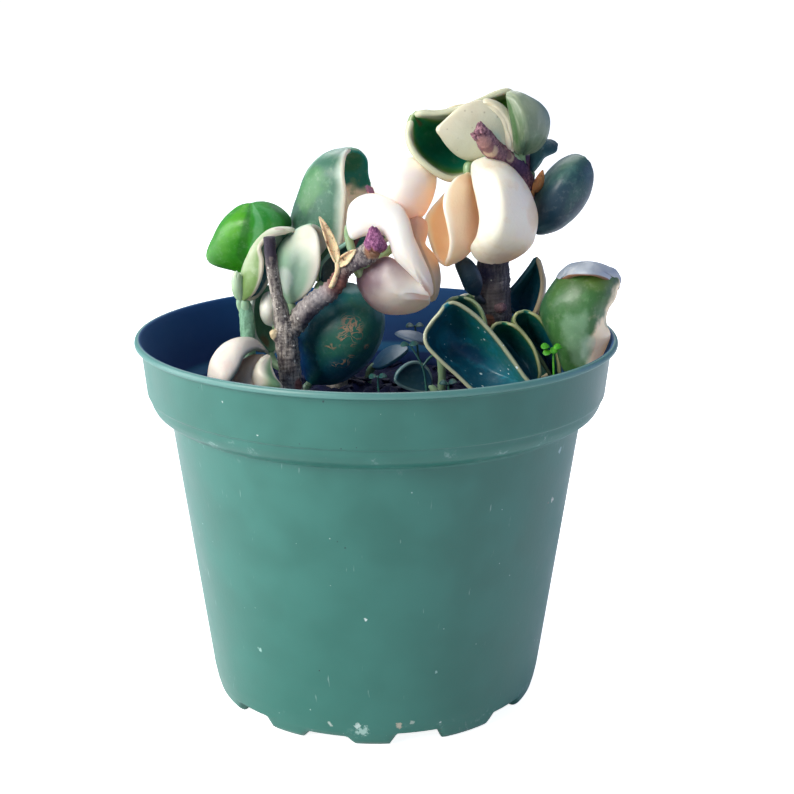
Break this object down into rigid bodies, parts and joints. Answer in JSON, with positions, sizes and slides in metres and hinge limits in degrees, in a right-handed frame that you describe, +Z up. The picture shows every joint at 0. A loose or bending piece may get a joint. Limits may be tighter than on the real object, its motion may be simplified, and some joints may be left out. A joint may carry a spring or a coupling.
{
  "type": "potted hoya plant",
  "caption": "Hoya with thick, folded, cream-edged leaves on short woody stems, rooted in soil in a round green plastic nursery pot with notched feet.",
  "frame": {"origin": "centre of the pot's feet, on the surface that the pot stands on", "axes": "+Z up, -Y towards the side seen from the front, +X to the right from there"},
  "size_m": [0.152, 0.152, 0.1925],
  "materials": {
    "pot_plastic": "semi-matte thin nursery-pot plastic, dull teal green",
    "soil": "damp dark peat and bark",
    "bark": "rough grey-brown bark with ring scars",
    "purple_bark": "scaly purple shoot tip",
    "young_stem": "smooth pale green stem, satin",
    "leaf_green": "waxy thick leaf, glossy, cream rim",
    "leaf_dark": "waxy thick leaf, glossy, deep teal green with a cream rim",
    "leaf_pale": "waxy thick leaf, glossy, mint to cream",
    "leaf_cream": "waxy thick leaf, satin, cream white",
    "dry_bract": "dry papery tan",
    "weed_green": "thin translucent green"
  },
  "bodies": {
    "root": {"bract_left": "dry_bract", "bract_right": "dry_bract", "leaf_back_inner": "leaf_dark", "leaf_back_left": "leaf_pale", "leaf_back_low": "leaf_dark", "leaf_back_middle": "leaf_green", "leaf_back_top": "leaf_green", "leaf_back_trunk": "leaf_pale", "leaf_back_wall": "leaf_green", "leaf_bowl_white": "leaf_cream", "leaf_cup_tall": "leaf_green", "leaf_egg_white": "leaf_cream", "leaf_fork_dark": "leaf_dark", "leaf_fork_pale": "leaf_pale", "leaf_fork_white": "leaf_cream", "leaf_front_behind": "leaf_dark", "leaf_front_cup": "leaf_dark", "leaf_front_middle": "leaf_green", "leaf_front_right": "leaf_green", "leaf_hood_white": "leaf_cream", "leaf_left_curl": "leaf_pale", "leaf_left_high": "leaf_green", "leaf_left_low": "leaf_green", "leaf_left_small": "leaf_pale", "leaf_pink_round": "leaf_cream", "leaf_pointed": "leaf_dark", "leaf_rim_cream": "leaf_cream", "leaf_rim_inner": "leaf_cream", "leaf_rim_small": "leaf_cream", "leaf_rim_tall": "leaf_green", "leaf_scarred": "leaf_dark", "leaf_soil_grey": "leaf_green", "leaf_soil_lilac": "leaf_pale", "leaf_soil_teal": "leaf_dark", "leaf_tan_fold": "leaf_cream", "leaf_teal_long": "leaf_dark", "leaf_teal_small": "leaf_dark", "leaf_top_cup": "leaf_dark", "leaf_top_pale": "leaf_pale", "leaf_top_round": "leaf_pale", "leaf_trunk_dark": "leaf_dark", "pot": "pot_plastic", "shoot_tip": "purple_bark", "soil": "soil", "stem_back": "bark", "stem_left": "bark", "stem_low": "bark", "stem_right": "bark", "stem_young": "young_stem", "weed_back": "weed_green", "weed_branching": "weed_green", "weed_right": "weed_green", "weed_small": "weed_green", "weed_trefoil": "weed_green"}
  },
  "joints": []
}
